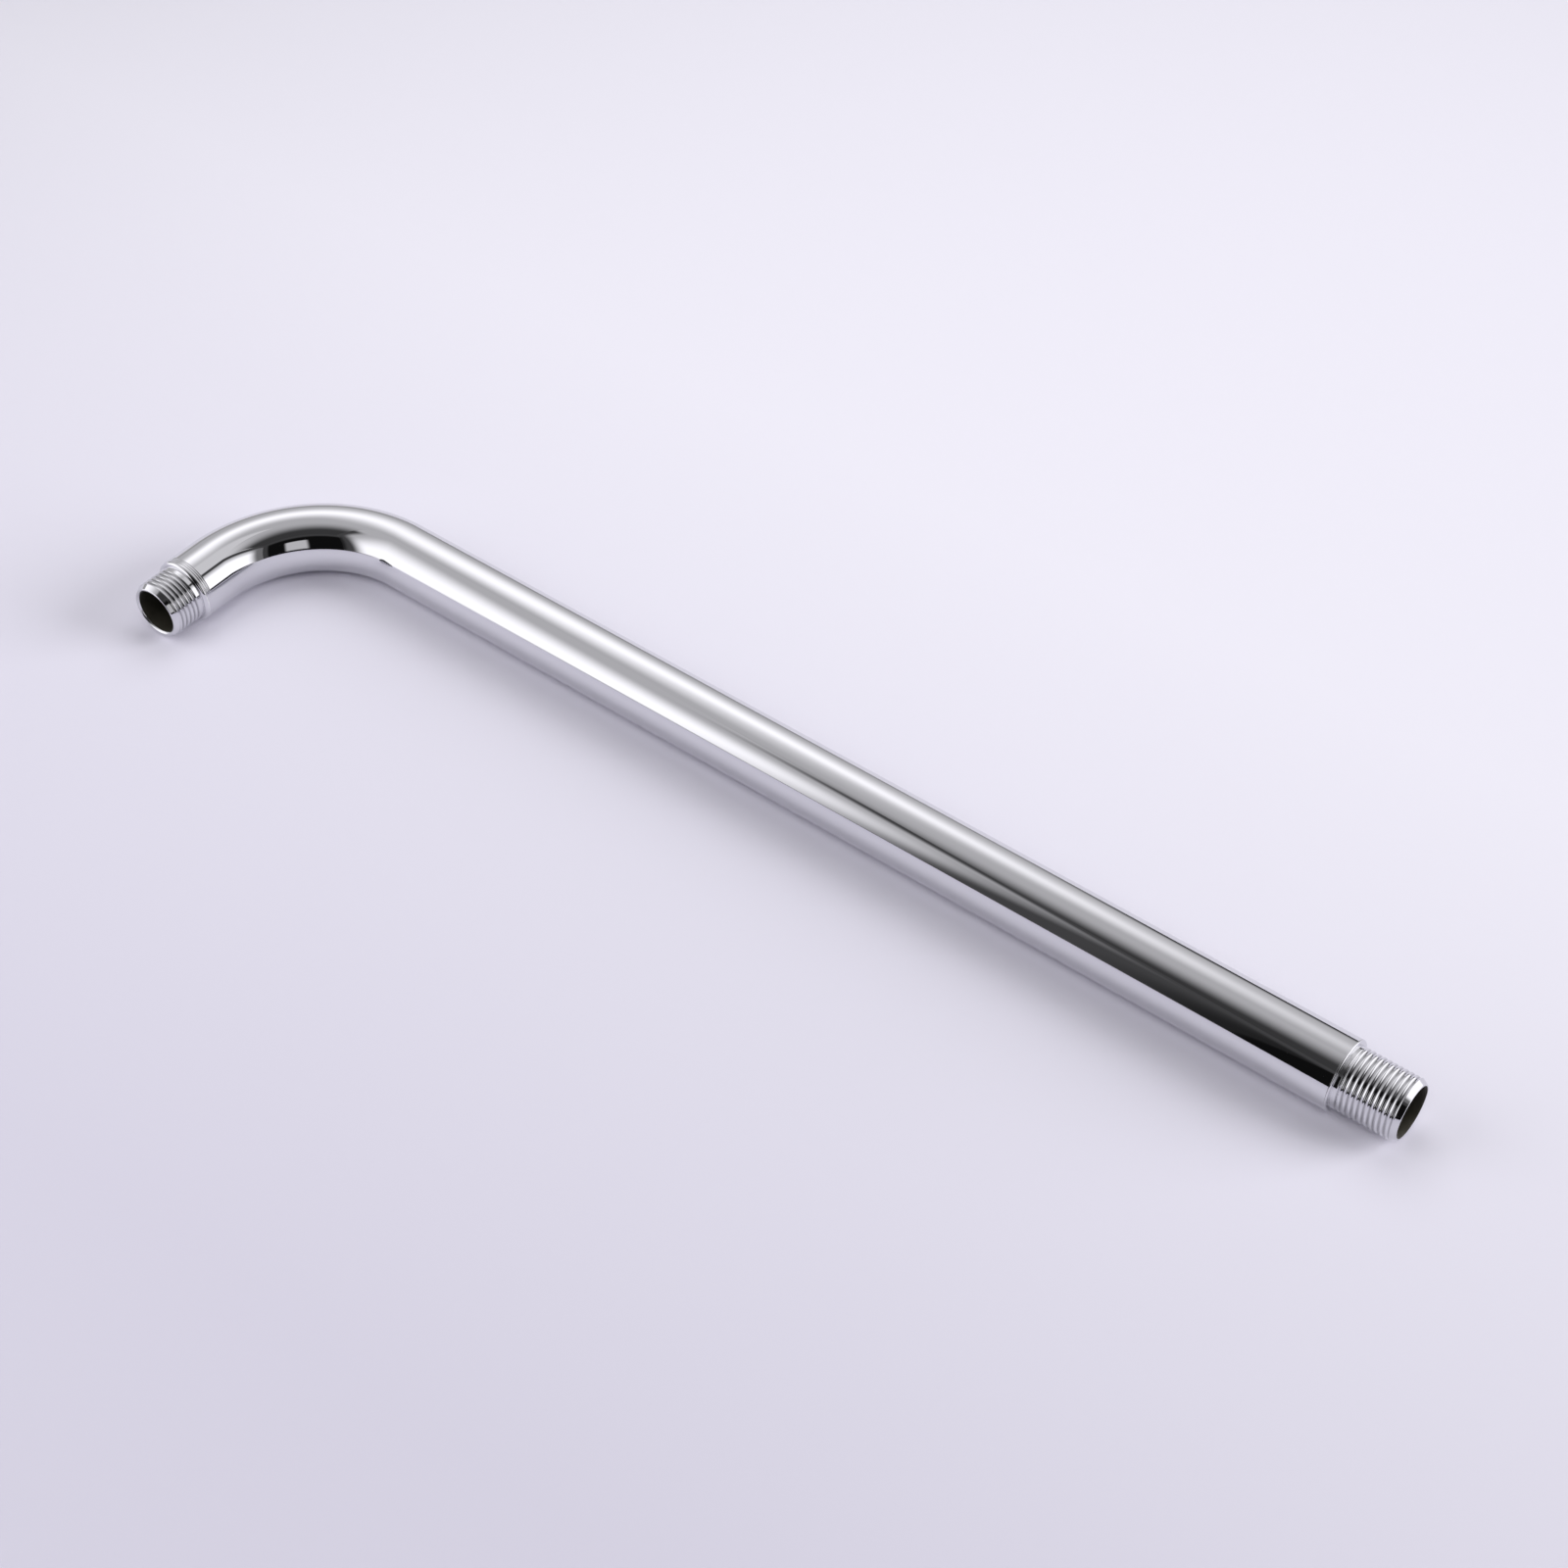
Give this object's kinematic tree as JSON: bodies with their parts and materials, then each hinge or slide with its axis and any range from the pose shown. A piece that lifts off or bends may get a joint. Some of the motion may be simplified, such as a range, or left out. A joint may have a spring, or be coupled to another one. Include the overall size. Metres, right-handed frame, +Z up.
{
  "type": "shower arm",
  "caption": "Chrome-plated hollow shower arm: a long straight round tube, one right-angle bend and a short outlet leg, with a male pipe thread at each end.",
  "frame": {"origin": "centre of the shoulder at the wall end, on the tube's axis, where the wall thread begins", "axes": "+X along the long leg from the wall to the bend, +Y along the outlet leg towards its mouth, +Z up from the surface that the arm lies on"},
  "size_m": [0.462, 0.087, 0.024],
  "materials": {
    "chrome_plate": "bright polished chrome plate"
  },
  "bodies": {
    "root": {"shower_arm": "chrome_plate"}
  },
  "joints": []
}
